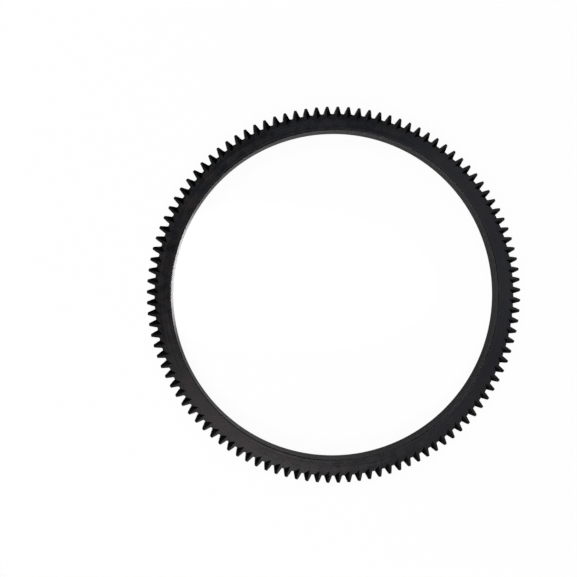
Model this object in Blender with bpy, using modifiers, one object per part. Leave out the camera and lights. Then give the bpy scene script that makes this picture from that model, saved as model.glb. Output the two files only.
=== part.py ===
"""Flywheel ring gear: a flat steel ring with involute teeth outside and a plain bore inside.

The ring lies flat with its front face up. +Z is the gear's axis, the origin is on that axis in
the plane of the back face, and one tooth is centred on +X. It is made in the order of the real
one: a turned blank, then the tooth spaces, then the lead-in cut on the front end of each tooth.
"""

from math import acos, atan2, cos, pi, radians, sin, tan

import bmesh
import bpy
from mathutils import Matrix, Vector

# Driving dimensions, in metres
TOOTH_COUNT = 110
MODULE = 0.00254
PRESSURE_ANGLE = radians(20)
ADDENDUM_IN_MODULES = 1.0
DEDENDUM_IN_MODULES = 1.25
TOOTH_THINNING = 0.00010
ROOT_FILLET_RADIUS = 0.00085
TIP_CORNER_BREAK = 0.00022
FACE_WIDTH = 0.0110
BORE_DIAMETER = 0.2490
BORE_CHAMFER_FRONT = 0.0005
BORE_CHAMFER_BACK = 0.0005
TIP_EDGE_CHAMFER = 0.0004
LEAD_IN_LAND_OFFSET = 0.00055
LEAD_IN_BELOW_ROOT = 0.0028
LEAD_IN_ANGLE = radians(44)
LEAD_IN_WALL_TURN = radians(43)
LEAD_IN_WALL_SLOPE = radians(62)

# How finely the curved surfaces are divided. The rim's facets come in an even count for each tooth.
FACETS_PER_TOOTH = 2
FLANK_STEPS = 3
FILLET_STEPS = 3

# How far a cutter runs past the metal it cuts
CUTTER_OVERRUN = 0.0010

# Edges that turn more than this stay sharp in the shading
SHARP_EDGE = radians(20)

# Sizes that follow from the driving dimensions
PITCH_RADIUS = MODULE * TOOTH_COUNT / 2
BASE_RADIUS = PITCH_RADIUS * cos(PRESSURE_ANGLE)
TIP_RADIUS = PITCH_RADIUS + ADDENDUM_IN_MODULES * MODULE
ROOT_RADIUS = PITCH_RADIUS - DEDENDUM_IN_MODULES * MODULE
TOOTH_PITCH = 2 * pi / TOOTH_COUNT

STEEL_COLOR = (0.020, 0.020, 0.022, 1.0)
STEEL_ROUGHNESS = 0.42
STEEL_METALLIC = 0.25


def clear_scene():
    for obj in list(bpy.data.objects):
        bpy.data.objects.remove(obj, do_unlink=True)


def new_collection(name):
    collection = bpy.data.collections.new(name)
    bpy.context.scene.collection.children.link(collection)
    return collection


def hide_as_cutter(obj):
    obj.hide_render = True
    obj.display_type = "WIRE"


def black_steel():
    """Hardened steel with a dull black heat-treatment scale."""
    material = bpy.data.materials.new("black_steel")
    material.use_nodes = True
    shader = material.node_tree.nodes["Principled BSDF"]
    shader.inputs["Base Color"].default_value = STEEL_COLOR
    shader.inputs["Roughness"].default_value = STEEL_ROUGHNESS
    shader.inputs["Metallic"].default_value = STEEL_METALLIC
    return material


def polar(radius, angle):
    return Vector((radius * cos(angle), radius * sin(angle)))


def involute(angle):
    """The involute function of a pressure angle."""
    return tan(angle) - angle


def pressure_angle_at(radius):
    return acos(BASE_RADIUS / radius)


def half_tooth_angle(radius):
    """Half of the angle that a tooth fills at this radius, on an involute through the pitch point."""
    at_pitch = pi / (2 * TOOTH_COUNT) - TOOTH_THINNING / (2 * PITCH_RADIUS)
    return at_pitch + involute(PRESSURE_ANGLE) - involute(pressure_angle_at(radius))


def half_space_angle(radius):
    return TOOTH_PITCH / 2 - half_tooth_angle(radius)


def flank_point(radius):
    """A point on the flank that bounds a space centred on +X, on its +Y side."""
    return polar(radius, half_space_angle(radius))


def flank_normal_angle(radius):
    """The direction from the flank into the space, along an involute's normal."""
    return half_space_angle(radius) - pi / 2 + pressure_angle_at(radius)


def fillet_centre(radius):
    """The centre of a circle of the fillet's radius that touches the flank at this radius."""
    return flank_point(radius) + polar(ROOT_FILLET_RADIUS, flank_normal_angle(radius))


def fillet_start_radius():
    """Where the flank ends: the circle that touches it there also touches the root circle."""
    low, high = ROOT_RADIUS, ROOT_RADIUS + 2 * ROOT_FILLET_RADIUS
    for _ in range(60):
        middle = (low + high) / 2
        if fillet_centre(middle).length > ROOT_RADIUS + ROOT_FILLET_RADIUS:
            high = middle
        else:
            low = middle
    return (low + high) / 2


def half_space_outline():
    """The +Y half of a tooth space centred on +X, from outside the tip circle down to the root.

    The break at the tooth's corner slopes at 45 degrees and runs on past the rim by its own width.
    """
    fillet_start = fillet_start_radius()
    break_start = TIP_RADIUS - TIP_CORNER_BREAK
    past_rim = TIP_RADIUS + TIP_CORNER_BREAK
    corner_angle = half_space_angle(break_start) + 2 * TIP_CORNER_BREAK / TIP_RADIUS
    points = [polar(TIP_RADIUS + CUTTER_OVERRUN, corner_angle), polar(past_rim, corner_angle)]
    for step in range(FLANK_STEPS + 1):
        share = step / FLANK_STEPS
        points.append(flank_point(break_start * (1 - share) + fillet_start * share))
    centre = fillet_centre(fillet_start)
    first = flank_normal_angle(fillet_start) - pi
    last = atan2(centre.y, centre.x) - pi
    for step in range(1, FILLET_STEPS + 1):
        share = step / FILLET_STEPS
        points.append(centre + polar(ROOT_FILLET_RADIUS, first * (1 - share) + last * share))
    return points


def turned_blank(collection, material):
    """The ring before its teeth are cut. Each tooth is centred on one of the flat facets of its rim."""
    facets = FACETS_PER_TOOTH * TOOTH_COUNT
    to_corner = 1 / cos(pi / facets)
    outer, inner = TIP_RADIUS, BORE_DIAMETER / 2
    profile = (
        (outer - TIP_EDGE_CHAMFER, FACE_WIDTH),
        (outer, FACE_WIDTH - TIP_EDGE_CHAMFER),
        (outer, TIP_EDGE_CHAMFER),
        (outer - TIP_EDGE_CHAMFER, 0),
        (inner + BORE_CHAMFER_BACK, 0),
        (inner, BORE_CHAMFER_BACK),
        (inner, FACE_WIDTH - BORE_CHAMFER_FRONT),
        (inner + BORE_CHAMFER_FRONT, FACE_WIDTH),
    )
    mesh = bpy.data.meshes.new("ring_gear")
    mesh.from_pydata(
        [(radius * to_corner, 0, height) for radius, height in profile],
        [(i, (i + 1) % len(profile)) for i in range(len(profile))],
        [],
    )
    mesh.materials.append(material)
    blank = bpy.data.objects.new("ring_gear", mesh)
    blank.rotation_euler.z = pi / facets
    collection.objects.link(blank)
    screw = blank.modifiers.new("turn", "SCREW")
    screw.steps = screw.render_steps = facets
    screw.use_smooth_shade = False
    return blank


def tooth_space_cutter(collection):
    """One prism for each tooth space: flat outlines round the gear, extruded past both faces."""
    half = half_space_outline()
    outline = half + [Vector((point.x, -point.y)) for point in reversed(half)]
    curve = bpy.data.curves.new("tooth_spaces", "CURVE")
    curve.dimensions = "2D"
    curve.fill_mode = "BOTH"
    curve.extrude = FACE_WIDTH / 2 + CUTTER_OVERRUN
    for space in range(TOOTH_COUNT):
        turn = Matrix.Rotation((space + 0.5) * TOOTH_PITCH, 2)
        spline = curve.splines.new("POLY")
        spline.points.add(len(outline) - 1)
        for target, point in zip(spline.points, outline):
            target.co = (*(turn @ point), 0, 1)
        spline.use_cyclic_u = True
    drawn = bpy.data.objects.new("tooth_spaces_outline", curve)
    drawn.location.z = FACE_WIDTH / 2
    collection.objects.link(drawn)
    return curve_as_mesh(drawn, "tooth_spaces", collection)


def curve_as_mesh(drawn, name, collection):
    """A closed mesh object in the curve's place, with the caps welded to the sides."""
    bpy.context.view_layer.update()
    graph = bpy.context.evaluated_depsgraph_get()
    mesh = bpy.data.meshes.new_from_object(drawn.evaluated_get(graph))
    work = bmesh.new()
    work.from_mesh(mesh)
    bmesh.ops.remove_doubles(work, verts=work.verts, dist=1e-6)
    bmesh.ops.recalc_face_normals(work, faces=work.faces)
    work.to_mesh(mesh)
    work.free()
    solid = bpy.data.objects.new(name, mesh)
    solid.matrix_world = drawn.matrix_world
    collection.objects.link(solid)
    bpy.data.objects.remove(drawn, do_unlink=True)
    hide_as_cutter(solid)
    return solid


def trim(work, point, normal):
    """Cuts off what lies on the normal's side of a plane and closes the block there."""
    cut = bmesh.ops.bisect_plane(
        work,
        geom=work.verts[:] + work.edges[:] + work.faces[:],
        plane_co=point,
        plane_no=normal,
        clear_outer=True,
    )
    edges = [item for item in cut["geom_cut"] if isinstance(item, bmesh.types.BMEdge)]
    bmesh.ops.contextual_create(work, geom=edges)


def lead_in_block():
    """The cut on the tooth at +X: a block over its clockwise side, trimmed below by the sloping
    facet that meets the front face along the land's edge, and inside by the wall that runs from
    the cut's innermost point out towards the next space."""
    inner_point = Vector((ROOT_RADIUS - LEAD_IN_BELOW_ROOT, LEAD_IN_LAND_OFFSET, FACE_WIDTH))
    low = Vector((inner_point.x - CUTTER_OVERRUN, -ROOT_RADIUS * sin(TOOTH_PITCH / 2), 0))
    high = Vector(
        (
            TIP_RADIUS + CUTTER_OVERRUN,
            LEAD_IN_LAND_OFFSET + 2 * CUTTER_OVERRUN,
            FACE_WIDTH + CUTTER_OVERRUN,
        )
    )
    work = bmesh.new()
    place = Matrix.Translation((low + high) / 2) @ Matrix.Diagonal((*(high - low), 1))
    bmesh.ops.create_cube(work, size=1, matrix=place)
    below_facet = Vector((0, sin(LEAD_IN_ANGLE), -cos(LEAD_IN_ANGLE)))
    trim(work, inner_point, below_facet)
    away_from_wall = Vector((-cos(LEAD_IN_WALL_TURN), -sin(LEAD_IN_WALL_TURN), 0))
    behind_wall = away_from_wall * sin(LEAD_IN_WALL_SLOPE) - Vector((0, 0, cos(LEAD_IN_WALL_SLOPE)))
    trim(work, inner_point, behind_wall)
    bmesh.ops.recalc_face_normals(work, faces=work.faces)
    return work


def lead_in_cutter(collection):
    """The lead-in block repeated at every tooth."""
    block = lead_in_block()
    one = bpy.data.meshes.new("lead_in_block")
    block.to_mesh(one)
    block.free()
    work = bmesh.new()
    for tooth in range(TOOTH_COUNT):
        before = len(work.verts)
        work.from_mesh(one)
        work.verts.ensure_lookup_table()
        turn = Matrix.Rotation(tooth * TOOTH_PITCH, 3, "Z")
        bmesh.ops.rotate(work, verts=work.verts[before:], cent=(0, 0, 0), matrix=turn)
    mesh = bpy.data.meshes.new("lead_ins")
    work.to_mesh(mesh)
    work.free()
    bpy.data.meshes.remove(one)
    cutter = bpy.data.objects.new("lead_ins", mesh)
    collection.objects.link(cutter)
    hide_as_cutter(cutter)
    return cutter


def cut(obj, cutter, name):
    boolean = obj.modifiers.new(name, "BOOLEAN")
    boolean.operation = "DIFFERENCE"
    boolean.solver = "EXACT"
    boolean.object = cutter


def keep_cuts(obj):
    """Makes the cut shape the object's own mesh, with its curved walls shaded smooth."""
    bpy.context.view_layer.update()
    graph = bpy.context.evaluated_depsgraph_get()
    mesh = bpy.data.meshes.new_from_object(obj.evaluated_get(graph))
    obj.modifiers.clear()
    obj.data = mesh
    mesh.shade_smooth()
    mesh.set_sharp_from_angle(angle=SHARP_EDGE)


def main():
    clear_scene()
    parts = new_collection("flywheel_ring_gear")
    cutters = new_collection("cutters")
    ring = turned_blank(parts, black_steel())
    cut(ring, tooth_space_cutter(cutters), "tooth spaces")
    cut(ring, lead_in_cutter(cutters), "lead-ins")
    keep_cuts(ring)


main()
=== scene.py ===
"""Flywheel ring gear: the fine surface of a black steel ring with cut teeth, its finish, and a plain studio.

The ring lies flat with its front face up and its back face on the floor. +Z is the gear's axis, and one tooth is
centred on +X. Lengths are in metres.
"""

from functools import cached_property
from math import cos, pi, radians, sin, tan

import bpy
import numpy as np
from bpy.props import FloatProperty, FloatVectorProperty, IntProperty, PointerProperty
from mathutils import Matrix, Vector


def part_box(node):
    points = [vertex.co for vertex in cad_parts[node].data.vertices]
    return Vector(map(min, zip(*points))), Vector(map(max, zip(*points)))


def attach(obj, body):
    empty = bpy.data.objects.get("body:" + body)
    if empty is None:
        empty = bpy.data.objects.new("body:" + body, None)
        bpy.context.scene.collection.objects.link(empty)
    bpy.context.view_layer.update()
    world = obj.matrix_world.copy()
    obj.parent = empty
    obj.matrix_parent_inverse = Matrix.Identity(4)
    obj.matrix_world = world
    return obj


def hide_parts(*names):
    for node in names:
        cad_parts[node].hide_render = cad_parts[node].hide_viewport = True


bl_info = {
    "name": "Flywheel ring gear",
    "version": (1, 0, 0),
    "blender": (4, 5, 0),
    "location": "3D View > Sidebar > Ring gear",
    "description": "Builds a black steel ring gear with cut teeth, and a plain studio around it",
    "category": "Add Mesh",
}

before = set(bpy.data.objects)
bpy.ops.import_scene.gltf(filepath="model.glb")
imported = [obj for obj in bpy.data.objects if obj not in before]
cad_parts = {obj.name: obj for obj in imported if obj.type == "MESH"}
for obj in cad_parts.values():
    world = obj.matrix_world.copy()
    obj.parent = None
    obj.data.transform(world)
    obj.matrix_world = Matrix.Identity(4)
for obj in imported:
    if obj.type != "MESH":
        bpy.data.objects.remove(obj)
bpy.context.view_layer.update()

# The solid that the fine ring stands for: its node, the corners of its box and its number of teeth
NODE = "ring_gear"
LOW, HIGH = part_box(NODE)
TOOTH_COUNT = 110

# How finely the curved surfaces are divided, as steps along each
ROOT_STEPS = 2
FILLET_STEPS = 6
FLANK_STEPS = 8
TIP_STEPS = 2
ROUND_STEPS = 3
COLUMNS_PER_TOOTH = 8

# How many radii are tried for the one where the fillet starts, and how far off a circle a point still counts as on it
FILLET_TRIES = 2001
ON_CIRCLE = 1e-8

# The lengths over which the bevel along the land's flank grows from the tip, and shrinks to the middle of the space
BEVEL_RISE = 0.0045
BEVEL_FALL = 0.0012

# Edges that turn more than this stay sharp in the shading
SHARP_EDGE = radians(38)

# The name of the attribute that holds where a point lies on its own tooth, before the tooth is turned into place
TOOTH_PLACE = "tooth_place"

# The sheet that the surface is unrolled on: how many teeth lie side by side in a row, and the gap between rows
SHEET_MAP = "OFBake"
STRIP_TEETH = 37
WALL_TEETH = 14
SHEET_GAP = 0.0006

# The side towards which the faces are tinted browner: a position times this is 1 at the outer edge there
BROWNER_SIDE = (-5.2, -4.7, 0.0)

# The length over which the faces darken to the hardened band, and how far from its middle the painted highlight
# line beside the bore fades out and is full
HARDENED_RUN = 0.0035
HIGHLIGHT_LINE_FADE = (0.0008, 0.0001)

# How closely the marks of turning and boring follow each other, as lumps to the metre
FINE_MARKS = 2500.0
BROAD_BANDS = 625.0
CHAMFER_MARKS = 5000.0
BORE_MARKS = 2800.0

# How closely the marks on a tooth do along X, Y and Z, and the hob's waves along the axis, as radians to the metre
HOB_SCRATCHES = (500.0, 500.0, 4500.0)
CUTTER_MARKS = (300.0, 3600.0, 3600.0)
HOB_WAVES = 5200.0

# The range in which most of a noise's values lie
NOISE_RANGE = (0.35, 0.65)

# The numbers of a colour mix's first and second colour sockets and of its result
MIX_FIRST, MIX_SECOND, MIX_RESULT = 6, 7, 2

# The camera's place and its turn about X, Y and Z in degrees, its sensor's width in millimetres, and how near it sees
CAMERA_PLACE = (-0.06314, 0.01232, 0.38461)
CAMERA_TURN = (-1.23, -3.8477, 1.4787)
SENSOR_WIDTH = 36
CLIP_START = 0.01

# Each softbox: where it hangs, how far it is across, its share of the light on the floor, and its colour
SOFTBOXES = (
    (-0.17, -0.37, 1.0, 0.36, 0.024, (1.00, 0.93, 0.95)),
    (0.16, -0.51, 1.0, 0.36, 0.002, (0.97, 0.94, 1.00)),
    (0.50, -0.37, 1.0, 0.36, 0.010, (0.93, 0.92, 1.00)),
    (0.64, -0.03, 1.0, 0.36, 0.003, (0.90, 0.90, 1.00)),
    (0.50, 0.31, 1.0, 0.36, 0.013, (0.92, 0.92, 1.00)),
    (0.78, 0.00, 1.0, 0.40, 0.012, (0.90, 0.90, 1.00)),
    (-0.55, 0.55, 1.0, 0.40, 0.003, (1.00, 1.00, 1.00)),
    (0.00, -0.78, 1.0, 0.40, 0.029, (1.00, 0.96, 1.00)),
    (0.00, 1.20, 1.0, 0.60, 0.143, (0.97, 0.98, 1.00)),
    (-0.85, 0.85, 1.0, 0.60, 0.206, (1.00, 1.00, 1.00)),
    (-1.20, 0.00, 1.0, 0.60, 0.049, (1.00, 1.00, 1.00)),
    (-0.85, -0.85, 1.0, 0.60, 0.087, (1.00, 0.98, 0.97)),
    (0.00, -1.20, 1.0, 0.60, 0.300, (1.00, 0.98, 0.98)),
)

# The accent lamp, which skims over the ring onto the bore across from it: its place, its target, its beam's full
# angle, its power, how much wider than high the beam is, how softly it ends, and the lamp's radius
ACCENT_PLACE = (0.35, 0.0, 0.12)
ACCENT_TARGET = (-0.0140, 0.0112, 0.0)
ACCENT_BEAM = radians(10.8)
ACCENT_POWER = 114.0
ACCENT_STRETCH = 1.5
ACCENT_BLEND = 0.5
ACCENT_RADIUS = 0.004

# How far the floor reaches to each side, how far it lies below the ring, how rough and how shiny it is, and how much
# of it is plain white to the camera and in reflections
FLOOR_REACH = 6.0
FLOOR_GAP = 0.0001
FLOOR_ROUGHNESS = 0.9
FLOOR_SHINE = 0.2
WHITE_SEEN = 0.95
WHITE_REFLECTED = 0.10

# Where the room's light changes, as sines of the elevation: over the first two its walls turn into its ceiling, and
# over the others it turns white downwards
WALLS_TO_CEILING = (0.35, 0.85)
WHITE_BELOW = (0.60, 0.45)


def length(name, description, default):
    """A size in metres, as a property."""
    return FloatProperty(name=name, description=description, default=default, min=0, unit="LENGTH", precision=5)


def angle(name, description, default):
    """An angle in radians, as a property."""
    return FloatProperty(name=name, description=description, default=default, subtype="ANGLE")


def color(name, description, default):
    """A colour in linear values, as a property."""
    return FloatVectorProperty(name=name, description=description, default=default, min=0, max=1, subtype="COLOR")


def amount(name, description, default, most=1.0):
    """A plain number from nought upwards, as a property."""
    return FloatProperty(name=name, description=description, default=default, min=0, max=most)


class RingSizes(bpy.types.PropertyGroup):
    """The driving sizes of the ring."""

    tooth_count: IntProperty(name="Teeth", description="Number of teeth", default=TOOTH_COUNT, min=20)
    module: length("Module", "Pitch diameter over the number of teeth", 2 * HIGH.x / (TOOTH_COUNT + 2))
    pressure_angle: angle("Pressure angle", "Lean of the flank at the pitch circle", radians(20))
    dedendum_in_modules: amount("Dedendum", "Depth below the pitch circle, in modules", 1.25, 2.0)
    tooth_thinning: length("Thinning", "What a tooth is thinner than half the pitch", 0.0001)
    root_fillet: length("Root fillet", "Radius between flank and root", 0.00085)
    corner_break: length("Corner break", "Break along the corners of the tip", 0.00022)
    tip_chamfer: length("Tip chamfer", "Turned chamfer at both ends of the tip", 0.0004)
    face_width: length("Face width", "From the back face to the front face", HIGH.z - LOW.z)
    bore_diameter: length("Bore", "Diameter of the bore", 0.2490)
    bore_chamfer: length("Bore chamfer", "Chamfer at both ends of the bore", 0.0005)
    land_offset: length("Land offset", "From the middle of the tooth to the land's inner corner", 0.00094)
    land_turn: angle("Land turn", "Turn of the land's edge towards the middle of the tip", radians(4))
    land_bevel: length("Land bevel", "Width of the shallow bevel between the land and its flank", 0.0006)
    land_bevel_depth: length("Land bevel depth", "Depth of that bevel", 0.00025)
    lead_in_below_root: length("Lead-in reach", "How far the cut reaches in from the root circle", 0.0032)
    lead_in_angle: angle("Lead-in angle", "Slope of the lead-in facet", radians(44))
    lead_in_wall_turn: angle("Lead-in wall turn", "Turn of the cut's wall from the tooth's middle", radians(37))
    lead_in_wall_slope: angle("Lead-in wall slope", "Slope of the cut's wall", radians(62))
    edge_round: length("Edge rounding", "Radius of the broken edges", 0.00008)


class RingFinish(bpy.types.PropertyGroup):
    """The colours and gloss of the black scale."""

    scale_color: color("Scale", "Black heat-treatment scale", (0.0028, 0.0029, 0.0038))
    scale_light: color("Light scale", "The scale where it is thinner", (0.0070, 0.0068, 0.0080))
    scale_blue: color("Blue scale", "Patches that the heat left bluish", (0.0028, 0.0038, 0.0078))
    scale_brown: color("Brown scale", "Patches that the heat left brownish", (0.0120, 0.0072, 0.0074))
    # The radius of the painted highlight: a lighter line painted on the face beside the bore, where its edge catches
    # light
    highlight_line_radius: length("Light line", "Radius of the painted highlight line beside the bore", 0.1258)
    hardened_from: length("Hardened band", "Radius from which the hardening left the faces darker", 0.1325)
    tooth_color: color("Teeth", "Hardened and oiled teeth", (0.0022, 0.0022, 0.0025))
    cut_color: color("Lead-in cuts", "The milled lead-in cuts", (0.0006, 0.0006, 0.0007))
    bore_color: color("Bore scale", "The smoother scale of the bore", (0.0040, 0.0030, 0.0055))
    # The colour of the painted highlight line beside the bore
    line_color: color("Light line colour", "Painted highlight line beside the bore", (0.0115, 0.0105, 0.0115))
    edge_color: color("Edges", "Rubbed edges", (0.011, 0.0105, 0.0105))
    roughness: amount("Roughness", "Roughness of the turned faces", 0.30)
    bore_roughness: amount("Bore roughness", "Roughness of the bore", 0.22)
    shine: amount("Shine", "Specular level of the scale", 0.55)
    cut_shine: amount("Cut shine", "Specular level of the lead-in cuts", 0.12)
    edge_shine: amount("Edge shine", "Specular level of the rubbed edges", 0.35)
    tooth_roughness: amount("Tooth roughness", "Roughness of the flanks and roots", 0.40)
    tooth_shine: amount("Tooth shine", "Specular level of the flanks and roots", 0.45)
    bore_bending: amount("Bore index", "Index of refraction of the bore's thin dark film", 1.15, 2.5)
    chamfer_bending: amount("Chamfer index", "Index of refraction of the film on the bore's chamfers", 1.19, 2.5)


class StudioSettings(bpy.types.PropertyGroup):
    """The floor, the lamps and the room."""

    floor_color: color("Floor", "Pale floor", (0.90, 0.90, 0.90))
    room_low: color("Room at the horizon", "Light from the room's walls", (0.20, 0.20, 0.20))
    room_high: color("Room overhead", "Light from the room's ceiling", (0.05, 0.05, 0.055))
    lens: FloatProperty(
        name="Lens", description="Focal length in millimetres", default=31.196, subtype="DISTANCE_CAMERA"
    )


def on_circle(radius, at):
    """Points at these radii and angles round the axis, as rows of x and y."""
    return np.stack((radius * np.cos(at), radius * np.sin(at)), -1)


def turned(points, by):
    """Points turned round the axis. The last axis of the array holds x and y, and z where there is one."""
    x, y = points[..., 0], points[..., 1]
    flat = np.stack((x * np.cos(by) - y * np.sin(by), x * np.sin(by) + y * np.cos(by)), -1)
    return np.concatenate((flat, np.broadcast_to(points[..., 2:], (*flat.shape[:-1], points.shape[-1] - 2))), -1)


def involute(at):
    """The involute function: the tangent of an angle, less the angle."""
    return np.tan(at) - at


def smooth_step(share):
    """A share held from 0 to 1 and eased at both ends: three times its square, less twice its cube."""
    share = np.clip(share, 0, 1)
    return share * share * (3 - 2 * share)


class Tooth:
    """One tooth, centred on +X: its outline seen along the axis, and the height of its ends over each point."""

    def __init__(self, sizes):
        self.sizes = sizes
        self.pitch = 2 * pi / sizes.tooth_count
        self.pitch_radius = sizes.module * sizes.tooth_count / 2
        self.base_radius = self.pitch_radius * cos(sizes.pressure_angle)
        self.tip_radius = self.pitch_radius + sizes.module
        self.root_radius = self.pitch_radius - sizes.dedendum_in_modules * sizes.module
        self.chamfer_radius = self.tip_radius - sizes.tip_chamfer
        self.inner_point = np.array((self.root_radius - sizes.lead_in_below_root, sizes.land_offset))

    def pressure_angle(self, radius):
        """The flank's lean at a radius: its cosine is the base radius over that radius."""
        return np.arccos(self.base_radius / radius)

    def half_angle(self, radius):
        """Half the angle that the tooth fills: that at the pitch circle, less the involute's turn since then."""
        at_pitch = (self.pitch / 2 - self.sizes.tooth_thinning / self.pitch_radius) / 2
        return at_pitch + involute(self.sizes.pressure_angle) - involute(self.pressure_angle(radius))

    def fillet_centre(self, radius):
        """The centre of a circle of the fillet's radius, on the flank's normal at this radius."""
        normal = self.half_angle(radius) + pi / 2 - self.pressure_angle(radius)
        return on_circle(radius, self.half_angle(radius)) + on_circle(self.sizes.root_fillet, normal)

    def half_outline(self):
        """The counter-clockwise half, from the middle of the space to the middle of the tip.

        It runs along the root circle, the fillet that touches both the root circle and the flank, the involute
        flank with a point at the tip chamfer's lower edge, the corner break and the tip circle. The fillet starts
        on the flank at the radius where its centre lies the fillet's radius beyond the root circle.
        """
        sizes = self.sizes
        tries = np.linspace(self.root_radius, self.root_radius + 2 * sizes.root_fillet, FILLET_TRIES)
        reach = np.linalg.norm(self.fillet_centre(tries), axis=-1)
        start = np.interp(self.root_radius + sizes.root_fillet, reach, tries)
        centre = self.fillet_centre(start)
        centre_at = np.arctan2(centre[1], centre[0])
        root = on_circle(self.root_radius, np.linspace(self.pitch / 2, centre_at, ROOT_STEPS + 1))
        flank_at = self.half_angle(start) + pi / 2 - self.pressure_angle(start)
        fillet = centre + on_circle(sizes.root_fillet, np.linspace(centre_at, flank_at, FILLET_STEPS + 1) - pi)
        below_chamfer = np.linspace(start, self.chamfer_radius, FLANK_STEPS + 1)
        radius = np.append(below_chamfer, self.tip_radius - sizes.corner_break)
        flank = on_circle(radius, self.half_angle(radius))
        corner = self.half_angle(radius[-1]) - sizes.corner_break / self.tip_radius
        tip = on_circle(self.tip_radius, np.linspace(corner, 0, TIP_STEPS + 1))
        return np.concatenate((root[:-1], fillet[:-1], flank, tip))

    def wall_side(self, points):
        """How far points lie outside the line in which the lead-in's wall meets the front face."""
        turn = self.sizes.lead_in_wall_turn
        return (points[..., :2] - self.inner_point) @ np.array((cos(turn), sin(turn)))

    def facet_drop(self, points):
        """How far the lead-in facet lies below the front face. It falls evenly from the land's edge."""
        turn = self.sizes.land_turn
        return (self.inner_point - points[..., :2]) @ np.array((sin(turn), cos(turn))) * tan(self.sizes.lead_in_angle)

    def ridge_end(self):
        """Where the land's edge, a straight line from the cut's inner point, meets the tip chamfer's lower edge."""
        way = np.array((cos(self.sizes.land_turn), -sin(self.sizes.land_turn)))
        start = self.inner_point @ way
        reach = np.sqrt(start**2 + self.chamfer_radius**2 - self.inner_point @ self.inner_point) - start
        return self.inner_point + reach * way

    def edge_break(self, points):
        """How far the broken edge reaches in and down over each point of the outline: further along the land's flank.

        It grows by a smooth step from the tip chamfer down that flank, and shrinks before the middle of the space.
        """
        sizes, along = self.sizes, points[..., 1]
        rise = smooth_step((self.chamfer_radius - np.linalg.norm(points, axis=-1)) / BEVEL_RISE)
        fall = smooth_step((self.root_radius * self.pitch / 2 - along) / BEVEL_FALL)
        share = (along > 0) * rise * fall
        full = sizes.land_bevel, sizes.land_bevel_depth
        return [sizes.edge_round + (size - sizes.edge_round) * share for size in full]

    def wall_drop(self, points):
        """How far the lead-in's wall lies below the front face."""
        return self.wall_side(points) * tan(self.sizes.lead_in_wall_slope)

    def rim_drop(self, points):
        """How far the tip chamfer, a cone of 45 degrees, lies below a face."""
        return np.maximum(np.linalg.norm(points[..., :2], axis=-1) - self.chamfer_radius, 0)

    def front(self, points):
        """The height of the front end: the face, cut by the tip chamfer, the lead-in facet and its wall."""
        lead_in = np.minimum(self.facet_drop(points), self.wall_drop(points))
        return self.sizes.face_width - np.maximum(self.rim_drop(points), lead_in)

    def back(self, points):
        """The height of the back end: the face, cut by the tip chamfer."""
        return self.rim_drop(points)


def with_crossings(outline, sides):
    """The outline with a point added where each function of its points first changes sign, and where those lie."""
    for side in sides:
        value = side(outline)
        last = int(np.flatnonzero(np.sign(value[1:]) != np.sign(value[:-1]))[0])
        share = value[last] / (value[last] - value[last + 1])
        outline = np.insert(outline, last + 1, outline[last] * (1 - share) + outline[last + 1] * share, axis=0)
    return outline, [int(np.abs(side(outline)).argmin()) for side in sides]


def mitres(outline, pitch):
    """At each point, the direction into the metal along which the edge moves by one when its two sides do.

    It is the sum of the two sides' unit normals over one plus their product. The tooth repeats on both sides.
    """
    line = np.concatenate((turned(outline[-2:-1], -pitch), outline, turned(outline[1:2], pitch)))
    step = np.diff(line, axis=0)
    normal = np.stack((-step[:, 1], step[:, 0]), -1) / np.linalg.norm(step, axis=1)[:, None]
    return (normal[:-1] + normal[1:]) / (1 + (normal[:-1] * normal[1:]).sum(1))[:, None]


def kept_on_lines(mitre, columns, ends, outline):
    """The same directions, but a column that starts a crease moves along that crease, towards its end."""
    mitre = mitre.copy()
    along = ends - outline[columns]
    mitre[columns] = along / (along * mitre[columns]).sum(1)[:, None] * (mitre[columns] ** 2).sum(1)[:, None]
    return mitre


def running_length(line):
    """The length along a line of points, up to each of them."""
    return np.append(0, np.cumsum(np.linalg.norm(np.diff(line, axis=0), axis=1)))


def round_over(steps):
    """A quarter round, from the wall to the face: how far each step lies in from the wall and short of the face."""
    at = np.linspace(0, pi / 2, steps + 1)
    return 1 - np.cos(at), 1 - np.sin(at)


def tooth_surface(tooth):
    """The wall of one tooth as a grid, that grid unrolled, two crease points on the front, and where creases start.

    Each column of the grid stands on a point of the outline. From the bottom up it rounds over from the back end,
    rises along the wall and rounds over onto the front end, whose heights it takes from Tooth.front.
    """
    side = tooth.half_outline()
    outline = np.concatenate((side * (1, -1), side[-2::-1]))
    outline, columns = with_crossings(
        outline,
        (
            tooth.wall_side,
            lambda points: tooth.wall_drop(points) - tooth.facet_drop(points),
            lambda points: tooth.facet_drop(points) - tooth.sizes.tip_chamfer,
        ),
    )
    rim = np.flatnonzero(np.abs(np.linalg.norm(outline, axis=1) - tooth.chamfer_radius) < ON_CIRCLE)
    ridge_end = tooth.ridge_end()
    mitre = mitres(outline, tooth.pitch)
    ends = np.array((tooth.inner_point, tooth.inner_point, ridge_end, ridge_end))
    to_front = kept_on_lines(mitre, [*columns, rim[1]], ends, outline)
    to_back = kept_on_lines(mitre, rim, outline[rim[::-1]], outline)
    inset, short = (part[:, None] * size for part, size in zip(round_over(ROUND_STEPS), tooth.edge_break(outline)))
    front = outline + inset[..., None] * to_front
    back = outline + inset[::-1, :, None] * to_back
    height = np.concatenate((tooth.back(back) + short[::-1], tooth.front(front) - short))
    grid = np.concatenate((np.concatenate((back, front)), height[..., None]), -1)
    across = height + np.concatenate((-inset[::-1], inset))
    unrolled = np.stack(np.broadcast_arrays(running_length(outline), across), -1)
    corners = np.array((tooth.inner_point, ridge_end))
    corners = np.concatenate((corners, np.full((2, 1), tooth.sizes.face_width)), -1)
    return grid.swapaxes(0, 1), unrolled.swapaxes(0, 1), corners, (*columns, *rim)


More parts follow.
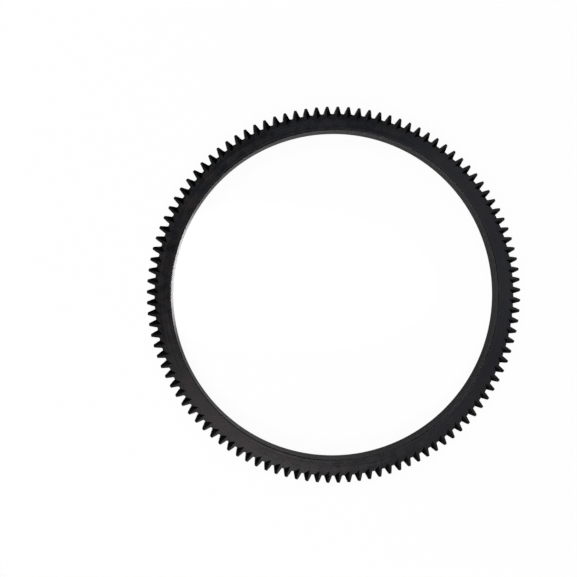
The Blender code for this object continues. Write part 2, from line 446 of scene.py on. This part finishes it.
def bore_profile(sizes, join_radius):
    """Radius and height along the bore's section, from the front join over the bore to the back join.

    Each corner is a parabola between two points that lie the edge rounding before and after it.
    """
    bore, chamfer, width = sizes.bore_diameter / 2, sizes.bore_chamfer, sizes.face_width
    line = np.array(
        (
            (join_radius, width),
            (bore + chamfer, width),
            (bore, width - chamfer),
            (bore, chamfer),
            (bore + chamfer, 0),
            (join_radius, 0),
        )
    )
    way = np.diff(line, axis=0)
    way /= np.linalg.norm(way, axis=1)[:, None]
    corner = line[1:-1, None]
    before = corner - sizes.edge_round * way[:-1, None]
    after = corner + sizes.edge_round * way[1:, None]
    share = np.linspace(0, 1, ROUND_STEPS + 1)[:, None]
    rounded = before * (1 - share) ** 2 + corner * 2 * share * (1 - share) + after * share**2
    return np.concatenate((line[:1], rounded.reshape(-1, 2), line[-1:]))


def repeated(grid, count, first):
    """The numbers of a tooth's grid of points on every tooth. Its last column is the next tooth's first."""
    columns, rows = len(grid) - 1, grid.shape[1]
    column = (np.arange(count)[:, None] * columns + np.arange(columns + 1)) % (count * columns)
    return first + column[..., None] * rows + np.arange(rows)


def quads(grids):
    """The corners of each cell of the teeth's grids, counter-clockwise: at (0, 0), (1, 0), (1, 1) and (0, 1)."""
    corners = (grids[:, :-1, :-1], grids[:, 1:, :-1], grids[:, 1:, 1:], grids[:, :-1, 1:])
    return np.stack(corners, 3).reshape(-1, 4, *grids.shape[3:])


# The place of each finish in the ring's list of materials
FACE, BORE, CHAMFER, FLANK, LEAD_IN, EDGE = range(6)


class RingSurface:
    """The points and faces of the whole ring, with each face's finish and its place on an unrolled sheet.

    Everything is worked out on the tooth on +X and repeated round the ring. The sheet has long strips, each of
    which runs over the front end, the bore and the back end of a row of teeth, and then rows of unrolled walls.
    """

    def __init__(self, sizes):
        tooth = self.tooth = Tooth(sizes)
        self.count = sizes.tooth_count
        self.wall, self.wall_unrolled, self.corners, self.columns = tooth_surface(tooth)
        self.join_radius = tooth.inner_point[0] - sizes.bore_chamfer
        profile = bore_profile(sizes, self.join_radius)
        self.profile_length = running_length(profile)
        around = np.linspace(-tooth.pitch / 2, tooth.pitch / 2, COLUMNS_PER_TOOTH + 1)
        rings = on_circle(profile[:, 0], around[:, None])
        heights = np.broadcast_to(profile[:, 1, None], (*rings.shape[:2], 1))
        self.bore = np.concatenate((rings, heights), -1)
        one_of_each = (self.wall[:-1].reshape(-1, 3), self.corners, self.bore[:-1].reshape(-1, 3))
        self.places = np.concatenate([np.tile(points, (self.count, 1)) for points in one_of_each])
        turn = [np.arange(self.count).repeat(len(points)) * tooth.pitch for points in one_of_each]
        self.points = turned(self.places, np.concatenate(turn))
        first_corner = self.count * len(one_of_each[0])
        first_bore = first_corner + self.count * len(self.corners)
        self.wall_numbers = repeated(self.wall, self.count, 0)
        self.corner_numbers = first_corner + np.arange(self.count * len(self.corners)).reshape(self.count, -1)
        self.bore_numbers = repeated(self.bore, self.count, first_bore)

    def in_rows(self, place, teeth, cell, start):
        """A tooth's places on the sheet, repeated for all teeth, so many of them to a row."""
        tooth = np.arange(self.count)
        offset = np.stack((tooth % teeth * cell[0], start + tooth // teeth * cell[1]), -1)
        return place + offset.reshape(self.count, *(1,) * (place.ndim - 1), 2)

    def on_strip(self, points, across):
        """Places on the strips: along by the angle round the axis, and across as given."""
        along = (np.arctan2(points[..., 1], points[..., 0]) + self.tooth.pitch / 2) * self.join_radius
        reach = self.tooth.tip_radius - self.join_radius
        cell = (self.tooth.pitch * self.join_radius, self.profile_length[-1] + 2 * reach + SHEET_GAP)
        place = np.stack(np.broadcast_arrays(along, reach + across), -1)
        return self.in_rows(place, STRIP_TEETH, cell, 0), cell

    def on_end(self, parts, front):
        """A face of an end made of parts of the grids, for all teeth: its points' numbers and places."""
        numbers = np.concatenate([part for part, _ in parts], 1)
        points = np.concatenate([part for _, part in parts])
        beyond = np.linalg.norm(points[:, :2], axis=1) - self.join_radius
        place = self.on_strip(points, -beyond if front else self.profile_length[-1] + beyond)[0]
        return (numbers, place) if front else (numbers[:, ::-1], place[:, ::-1])

    def ends(self):
        """The flat faces of both ends, with their finish."""
        wall_line, valley, chamfer_line, rim_back, rim_front = self.columns

        def wall(first, last, row):
            return self.wall_numbers[:, first:last, row], self.wall[first:last, row]

        inner, ridge = ((self.corner_numbers[:, n : n + 1], self.corners[n : n + 1]) for n in (0, 1))
        join, back_join = ((self.bore_numbers[:, ::-1, row], self.bore[::-1, row]) for row in (0, -1))
        front_face = (wall(0, wall_line + 1, -1), inner, ridge, wall(rim_front, None, -1), join)
        cut_wall = (wall(wall_line, valley + 1, -1), inner)
        cut_facet = (wall(valley, chamfer_line + 1, -1), ridge, inner)
        front_chamfer = (wall(chamfer_line, rim_front + 1, -1), ridge)
        back_face = (wall(0, rim_back + 1, 0), wall(rim_front, None, 0), back_join)
        back_chamfer = (wall(rim_back, rim_front + 1, 0),)
        return (
            (*self.on_end(front_face, True), FACE),
            (*self.on_end(cut_wall, True), LEAD_IN),
            (*self.on_end(cut_facet, True), LEAD_IN),
            (*self.on_end(front_chamfer, True), LEAD_IN),
            (*self.on_end(back_face, False), FACE),
            (*self.on_end(back_chamfer, False), LEAD_IN),
        )

    def faces(self):
        """All faces, as arrays of their points' numbers, their corners' places on the sheet and their finish."""
        strip, cell = self.on_strip(self.bore, self.profile_length)
        strip_rows = -(-self.count // STRIP_TEETH)
        low = self.wall_unrolled.min((0, 1))
        wall_cell = self.wall_unrolled.max((0, 1)) - low + (0, SHEET_GAP)
        wall = self.in_rows(self.wall_unrolled - low, WALL_TEETH, wall_cell, strip_rows * cell[1])
        wall_rows = -(-self.count // WALL_TEETH)
        size = (
            max(STRIP_TEETH * cell[0], WALL_TEETH * wall_cell[0]),
            strip_rows * cell[1] + wall_rows * wall_cell[1],
        )
        rounding = [EDGE] * ROUND_STEPS
        up_the_wall = [*rounding, FLANK, *rounding]
        along_the_bore = [FACE, *rounding, CHAMFER, *rounding, BORE, *rounding, CHAMFER, *rounding, FACE]
        grids = (
            (quads(self.wall_numbers), quads(wall), up_the_wall),
            (quads(self.bore_numbers), quads(strip), along_the_bore),
        )
        return [
            *((numbers, place / size, np.resize(finish, len(numbers))) for numbers, place, finish in grids),
            *((numbers, place / size, np.full(len(numbers), finish)) for numbers, place, finish in self.ends()),
        ]

    def mesh(self, name):
        """The ring's mesh: smooth but for sharp edges, with the sheet as its UV map and the places on a tooth."""
        mesh = bpy.data.meshes.new(name)
        faces = self.faces()
        mesh.from_pydata(self.points, [], [face for numbers, _, _ in faces for face in numbers.tolist()])
        finish = np.concatenate([finish for _, _, finish in faces]).astype(np.int32)
        mesh.polygons.foreach_set("material_index", finish)
        sheet = np.concatenate([place.reshape(-1) for _, place, _ in faces])
        mesh.uv_layers.new(name=SHEET_MAP).uv.foreach_set("vector", sheet.astype(np.float32))
        place = mesh.attributes.new(TOOTH_PLACE, "FLOAT_VECTOR", "POINT")
        place.data.foreach_set("vector", self.places.ravel())
        mesh.shade_smooth()
        mesh.set_sharp_from_angle(angle=SHARP_EDGE)
        mesh.validate()
        return mesh


class Finish:
    """A material's nodes: its surface shader, where a point lies, and short ways to add and link others."""

    def __init__(self, name):
        self.material = bpy.data.materials.new(name)
        self.material.use_nodes = True
        self.tree = self.material.node_tree
        self.surface = next(node for node in self.tree.nodes if node.type == "BSDF_PRINCIPLED")
        self.place = self.add("ShaderNodeTexCoord").outputs["Object"]

    @cached_property
    def height(self):
        """The height above the back face."""
        return self.add("ShaderNodeSeparateXYZ", (self.place,)).outputs["Z"]

    @cached_property
    def flat_place(self):
        """The position with its height taken out."""
        return self.vector("MULTIPLY", self.place, (1, 1, 0))

    @cached_property
    def radius(self):
        """The distance from the axis."""
        return self.add("ShaderNodeVectorMath", (self.flat_place,), operation="LENGTH").outputs["Value"]

    @cached_property
    def direction(self):
        """The way out from the axis, one long."""
        return self.vector("NORMALIZE", self.flat_place)

    def add(self, kind, inputs=(), **settings):
        """A node with these settings. Its inputs, by place or by name, are set to values or linked to outputs."""
        node = self.tree.nodes.new(kind)
        for name, value in settings.items():
            setattr(node, name, value)
        named = inputs.items() if isinstance(inputs, dict) else enumerate(inputs)
        for name, value in named:
            if isinstance(value, bpy.types.NodeSocket):
                self.tree.links.new(value, node.inputs[name])
            else:
                node.inputs[name].default_value = value
        return node

    def vector(self, operation, *inputs):
        """A vector worked out from others."""
        return self.add("ShaderNodeVectorMath", inputs, operation=operation).outputs["Vector"]

    def math(self, operation, *inputs):
        """A number worked out from others."""
        return self.add("ShaderNodeMath", inputs, operation=operation).outputs["Value"]

    def scaled(self, place, by):
        """A position stretched by a number of its own along each axis."""
        return self.vector("MULTIPLY", place, by)

    def noise(self, place, detail=2.0):
        """Noise with one lump for each unit of a position that is already scaled."""
        inputs = {"Vector": place, "Scale": 1.0, "Detail": detail}
        return self.add("ShaderNodeTexNoise", inputs).outputs["Fac"]

    def lumps(self, size, detail=3.0):
        """Noise whose lumps are this many metres across."""
        return self.noise(self.scaled(self.place, (1 / size,) * 3), detail)

    def tool_marks(self, across, closeness, turns):
        """Marks left by turning or boring: noise that changes quickly across them, and slowly round the axis."""
        apart = self.add("ShaderNodeCombineXYZ", {"Z": self.math("MULTIPLY", across, closeness)}).outputs["Vector"]
        return self.noise(self.vector("ADD", self.scaled(self.direction, (turns,) * 3), apart))

    def spread(self, value, low, high, to_low=0.0, to_high=1.0):
        """A value taken from one range to another, held at its ends."""
        return self.add("ShaderNodeMapRange", (value, low, high, to_low, to_high)).outputs["Result"]

    def blended(self, first, second, share):
        """Two numbers, with this share of the second."""
        return self.math("ADD", self.math("MULTIPLY", first, 1 - share), self.math("MULTIPLY", second, share))

    def covered(self, under, share, color):
        """A colour with this share of another one over it."""
        inputs = {"Factor": share, MIX_FIRST: under, MIX_SECOND: opaque(color)}
        return self.add("ShaderNodeMix", inputs, data_type="RGBA").outputs[MIX_RESULT]

    def patchy(self, value, low, high, first, second):
        """A colour that goes from the first to the second as a value goes from low to high."""
        return self.covered(opaque(first), self.spread(value, low, high), second)

    def bump(self, height, depth, under=None):
        """A bump of this depth in metres, on top of another one where that is given."""
        inputs = {"Height": height, "Distance": depth, "Strength": 1.0}
        if under:
            inputs["Normal"] = under
        return self.add("ShaderNodeBump", inputs).outputs["Normal"]

    def finished(self, color, roughness, normal, shine):
        """The material, with its surface linked."""
        for name, value in (("Base Color", color), ("Roughness", roughness), ("Normal", normal)):
            self.tree.links.new(value, self.surface.inputs[name])
        self.surface.inputs["Specular IOR Level"].default_value = shine
        return self.material


def opaque(color):
    """A colour property as the four values that a colour socket takes."""
    return (*color, 1.0)


def turned_scale(look):
    """The front and back faces: black scale over fine turning marks, mottled, with a fine grain.

    The heat left it bluish in places and brownish in others, and it is tinted browner towards one side and bluer
    towards the other. It darkens to the hardened band, and a broken line of painted highlight runs beside the bore.
    """
    finish = Finish("turned_scale")
    fine = finish.tool_marks(finish.radius, FINE_MARKS, turns=2.5)
    bands = finish.tool_marks(finish.radius, BROAD_BANDS, turns=1.2)
    grain = finish.lumps(size=0.0009)
    tone = finish.blended(bands, finish.lumps(size=0.006), 0.5)
    color = finish.patchy(tone, 0.40, 0.60, look.scale_color, look.scale_light)
    # Browner towards one side of the ring and bluer towards the other
    side = finish.add("ShaderNodeVectorMath", (finish.place, BROWNER_SIDE), operation="DOT_PRODUCT").outputs["Value"]
    browner = finish.spread(side, -0.4, 1.0, -0.10, 0.12)
    tint = finish.math("SUBTRACT", finish.lumps(size=0.016, detail=2), browner)
    color = finish.covered(color, finish.spread(tint, 0.50, 0.66, 0, 0.8), look.scale_blue)
    color = finish.covered(color, finish.spread(tint, 0.45, 0.32, 0, 0.8), look.scale_brown)
    hardened = finish.spread(finish.radius, look.hardened_from, look.hardened_from + HARDENED_RUN)
    color = finish.covered(color, hardened, look.tooth_color)
    # Painted highlight: a broken lighter line on the face beside the bore, where the bore's edge catches light
    beside = finish.math("ABSOLUTE", finish.math("SUBTRACT", finish.radius, look.highlight_line_radius))
    broken = finish.spread(finish.noise(finish.scaled(finish.direction, (2.5,) * 3)), 0.30, 0.60, 0.2, 0.8)
    line = finish.math("MULTIPLY", finish.spread(beside, *HIGHLIGHT_LINE_FADE), broken)
    color = finish.covered(color, line, look.line_color)
    rough = finish.blended(tone, grain, 0.4)
    roughness = finish.spread(rough, 0.37, 0.63, look.roughness - 0.09, look.roughness + 0.09)
    normal = finish.bump(grain, depth=0.000012, under=finish.bump(fine, depth=0.000008))
    return finish.finished(color, roughness, normal, look.shine)


def bored_scale(look):
    """The bore: marks that run round it, one above the other, under thinner and smoother scale."""
    finish = Finish("bored_scale")
    mottle = finish.lumps(size=0.008, detail=4)
    color = finish.patchy(mottle, 0.42, 0.60, look.bore_color, look.scale_light)
    roughness = finish.spread(mottle, *NOISE_RANGE, look.bore_roughness - 0.03, look.bore_roughness + 0.03)
    normal = finish.bump(finish.tool_marks(finish.height, BORE_MARKS, turns=3.0), depth=0.000004)
    finish.surface.inputs["IOR"].default_value = look.bore_bending
    return finish.finished(color, roughness, normal, look.shine)


def turned_chamfer(look):
    """The bore's chamfers: close turning marks under scale nearly as thin as the bore's."""
    finish = Finish("turned_chamfer")
    mottle = finish.lumps(size=0.004)
    color = finish.patchy(mottle, 0.42, 0.60, look.bore_color, look.scale_light)
    roughness = finish.spread(mottle, *NOISE_RANGE, look.roughness - 0.06, look.roughness + 0.04)
    normal = finish.bump(finish.tool_marks(finish.radius, CHAMFER_MARKS, turns=2.5), depth=0.000004)
    finish.surface.inputs["IOR"].default_value = look.chamfer_bending
    return finish.finished(color, roughness, normal, look.shine)


def hobbed_flank(look):
    """The flanks and roots: shallow waves that the hob left along the axis, dark from hardening."""
    finish = Finish("hobbed_flank")
    phase = finish.math("ADD", finish.math("MULTIPLY", finish.height, HOB_WAVES), finish.lumps(size=0.004))
    wave = finish.math("SINE", phase)
    scratch = finish.noise(finish.scaled(finish.place, HOB_SCRATCHES))
    stain = finish.lumps(size=0.0035, detail=4)
    color = finish.patchy(stain, 0.40, 0.65, look.tooth_color, look.scale_color)
    roughness = finish.spread(stain, *NOISE_RANGE, look.tooth_roughness - 0.06, look.tooth_roughness + 0.06)
    normal = finish.bump(scratch, depth=0.000006, under=finish.bump(wave, depth=0.000004))
    return finish.finished(color, roughness, normal, look.tooth_shine)


def milled_lead_in(look):
    """The lead-in cuts and tip chamfers: close marks of the cutter across each, the darkest scale of all."""
    finish = Finish("milled_lead_in")
    on_tooth = finish.add("ShaderNodeAttribute", attribute_name=TOOTH_PLACE).outputs["Vector"]
    marks = finish.noise(finish.scaled(on_tooth, CUTTER_MARKS))
    grain = finish.lumps(size=0.0006)
    stain = finish.lumps(size=0.003, detail=4)
    color = finish.patchy(stain, 0.42, 0.66, look.cut_color, look.tooth_color)
    roughness = finish.spread(stain, *NOISE_RANGE, look.roughness - 0.06, look.roughness + 0.04)
    normal = finish.bump(marks, depth=0.000008, under=finish.bump(grain, depth=0.000008))
    return finish.finished(color, roughness, normal, look.cut_shine)


def rubbed_edge(look):
    """The broken edges: scale rubbed thin in places by handling, so that the steel shines through a little."""
    finish = Finish("rubbed_edge")
    wear = finish.lumps(size=0.0028, detail=4)
    color = finish.patchy(wear, 0.45, 0.68, look.scale_color, look.edge_color)
    roughness = finish.spread(wear, *NOISE_RANGE, look.roughness, look.roughness - 0.10)
    normal = finish.bump(finish.lumps(size=0.0005), depth=0.00001)
    return finish.finished(color, roughness, normal, look.edge_shine)


class AddRingGear(bpy.types.Operator):
    """Add the ring gear with its teeth, lead-in cuts and bore, and hide the plain solid that it stands for"""

    bl_idname = "ring_gear.add_ring"
    bl_label = "Ring gear"

    def execute(self, context):
        """Make the ring's mesh and finishes from the scene's properties."""
        sizes, look = context.scene.ring_gear_sizes, context.scene.ring_gear_finish
        mesh = RingSurface(sizes).mesh("ring_gear_surface")
        # In the order of FACE, BORE, CHAMFER, FLANK, LEAD_IN and EDGE
        for finish in (turned_scale, bored_scale, turned_chamfer, hobbed_flank, milled_lead_in, rubbed_edge):
            mesh.materials.append(finish(look))
        ring = bpy.data.objects.new("ring_gear_fine", mesh)
        context.scene.collection.objects.link(ring)
        ring.modifiers.new("even_shading", "WEIGHTED_NORMAL").keep_sharp = True
        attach(ring, "root")
        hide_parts(NODE)
        return {"FINISHED"}


def white_share(nodes, link):
    """How much of the backdrop is plain white: one share to the camera and through glass, another in reflections.

    Each kind of ray adds its share to the sum.
    """
    path = nodes.new("ShaderNodeLightPath")
    shares = (("Is Camera Ray", WHITE_SEEN), ("Is Transmission Ray", WHITE_SEEN), ("Is Glossy Ray", WHITE_REFLECTED))
    total = None
    for kind, share in shares:
        more = nodes.new("ShaderNodeMath")
        more.operation = "MULTIPLY_ADD"
        more.inputs[1].default_value = share
        more.inputs[2].default_value = 0
        link(path.outputs[kind], more.inputs[0])
        if total:
            link(total, more.inputs[2])
        total = more.outputs["Value"]
    return total


def backdrop_material(color):
    """A pale matt floor. Where the camera, a reflection or glass looks at it, some of it is plain white."""
    material = bpy.data.materials.new("pale_floor")
    material.use_nodes = True
    nodes, link = material.node_tree.nodes, material.node_tree.links.new
    matt = next(node for node in nodes if node.type == "BSDF_PRINCIPLED")
    matt.inputs["Base Color"].default_value = opaque(color)
    matt.inputs["Roughness"].default_value = FLOOR_ROUGHNESS
    matt.inputs["Specular IOR Level"].default_value = FLOOR_SHINE
    white = nodes.new("ShaderNodeEmission")
    blend = nodes.new("ShaderNodeMixShader")
    link(white_share(nodes, link), blend.inputs["Fac"])
    link(matt.outputs["BSDF"], blend.inputs[1])
    link(white.outputs["Emission"], blend.inputs[2])
    out = next(node for node in nodes if node.type == "OUTPUT_MATERIAL")
    link(blend.outputs["Shader"], out.inputs["Surface"])
    return material


def light_room(world, low, high):
    """A faint room, brighter round the horizon than overhead.

    From some way above the horizon downwards it is seen as the floor is, mostly white.
    """
    world.use_nodes = True
    nodes, link = world.node_tree.nodes, world.node_tree.links.new
    background = next(node for node in nodes if node.type == "BACKGROUND")
    way = nodes.new("ShaderNodeTexCoord")
    split = nodes.new("ShaderNodeSeparateXYZ")
    ramp = nodes.new("ShaderNodeValToRGB")
    below = nodes.new("ShaderNodeMapRange")
    share = nodes.new("ShaderNodeMath")
    seen = nodes.new("ShaderNodeMix")
    link(way.outputs["Generated"], split.inputs[0])
    first, last = ramp.color_ramp.elements
    first.position, last.position = WALLS_TO_CEILING
    first.color, last.color = opaque(low), opaque(high)
    link(split.outputs["Z"], ramp.inputs["Fac"])
    below.inputs["From Min"].default_value, below.inputs["From Max"].default_value = WHITE_BELOW
    link(split.outputs["Z"], below.inputs["Value"])
    share.operation = "MULTIPLY"
    link(below.outputs["Result"], share.inputs[0])
    link(white_share(nodes, link), share.inputs[1])
    seen.data_type = "RGBA"
    seen.inputs[MIX_SECOND].default_value = opaque((1, 1, 1))
    link(share.outputs["Value"], seen.inputs["Factor"])
    link(ramp.outputs["Color"], seen.inputs[MIX_FIRST])
    link(seen.outputs[MIX_RESULT], background.inputs["Color"])


def add_lamp(scene, lamp, place, target=(0, 0, 0)):
    """A lamp at a place, turned to shine at its target, which is the ring's middle if none is given."""
    holder = bpy.data.objects.new(lamp.name, lamp)
    holder.location = place
    holder.rotation_euler = (Vector(place) - Vector(target)).to_track_quat("Z", "Y").to_euler()
    scene.collection.objects.link(holder)
    return holder


class AddStudio(bpy.types.Operator):
    """Add the pale floor, the room's light, the softboxes, the accent lamp and the camera"""

    bl_idname = "ring_gear.add_studio"
    bl_label = "Studio"

    def execute(self, context):
        """Set up the stage from the scene's properties."""
        scene, studio = context.scene, context.scene.ring_gear_studio
        self.add_floor(scene, studio.floor_color)
        if scene.world is None:
            scene.world = bpy.data.worlds.new("studio_room")
        light_room(scene.world, studio.room_low, studio.room_high)
        self.add_lamps(scene)
        self.add_camera(scene, studio.lens)
        scene.view_settings.view_transform = "Standard"
        return {"FINISHED"}

    def add_floor(self, scene, color):
        """A flat square just below the ring."""
        corners = np.array(((-1, -1), (1, -1), (1, 1), (-1, 1))) * FLOOR_REACH
        points = np.concatenate((corners, np.full((4, 1), LOW.z - FLOOR_GAP)), 1)
        mesh = bpy.data.meshes.new("floor")
        mesh.from_pydata(points, [], [(0, 1, 2, 3)])
        mesh.materials.append(backdrop_material(color))
        floor = bpy.data.objects.new("floor", mesh)
        scene.collection.objects.link(floor)

    def add_lamps(self, scene):
        """The softboxes and the accent lamp.

        A softbox's power is its share of the floor's light, times pi squared, times its distance cubed over its
        height, because light thins with the distance squared and meets the floor at a slant.
        """
        for number, (x, y, z, across, share, color) in enumerate(SOFTBOXES):
            lamp = bpy.data.lights.new(f"softbox_{number}", "AREA")
            lamp.shape, lamp.size, lamp.color = "DISK", across, color
            lamp.energy = share * pi**2 * Vector((x, y, z)).length ** 3 / z
            add_lamp(scene, lamp, (x, y, z))
        accent = bpy.data.lights.new("accent", "SPOT")
        accent.energy, accent.shadow_soft_size = ACCENT_POWER, ACCENT_RADIUS
        accent.spot_size, accent.spot_blend = ACCENT_BEAM, ACCENT_BLEND
        add_lamp(scene, accent, ACCENT_PLACE, ACCENT_TARGET).scale.x = ACCENT_STRETCH

    def add_camera(self, scene, lens):
        """The camera, which looks down on the ring."""
        camera = bpy.data.cameras.new("studio_camera")
        camera.lens, camera.sensor_width, camera.clip_start = lens, SENSOR_WIDTH, CLIP_START
        holder = bpy.data.objects.new("studio_camera", camera)
        holder.location = CAMERA_PLACE
        holder.rotation_euler = [radians(turn) for turn in CAMERA_TURN]
        scene.collection.objects.link(holder)
        scene.camera = holder


class RingGearPanel(bpy.types.Panel):
    """The ring gear's sizes, finish and studio, with a button for each part of the scene"""

    bl_idname = "VIEW3D_PT_ring_gear"
    bl_label = "Flywheel ring gear"
    bl_space_type = "VIEW_3D"
    bl_region_type = "UI"
    bl_category = "Ring gear"

    def draw(self, context):
        """List each group's properties, and below them the button that builds from them."""
        for holder, operator in zip(HOLDERS, (AddRingGear, None, AddStudio)):
            group = getattr(context.scene, holder)
            box = self.layout.box()
            for name in group.__annotations__:
                box.prop(group, name)
            if operator:
                box.operator(operator.bl_idname)


HOLDERS = {
    "ring_gear_sizes": RingSizes,
    "ring_gear_finish": RingFinish,
    "ring_gear_studio": StudioSettings,
}
CLASSES = (*HOLDERS.values(), AddRingGear, AddStudio, RingGearPanel)


def register():
    """Register the classes, and give each scene their properties."""
    for kind in CLASSES:
        bpy.utils.register_class(kind)
    for holder, kind in HOLDERS.items():
        setattr(bpy.types.Scene, holder, PointerProperty(type=kind))


def unregister():
    """Take the properties and the classes away again."""
    for holder in HOLDERS:
        delattr(bpy.types.Scene, holder)
    for kind in reversed(CLASSES):
        bpy.utils.unregister_class(kind)


def main():
    """Build everything."""
    register()
    bpy.ops.ring_gear.add_ring()
    bpy.ops.ring_gear.add_studio()


if __name__ == "__main__":
    main()
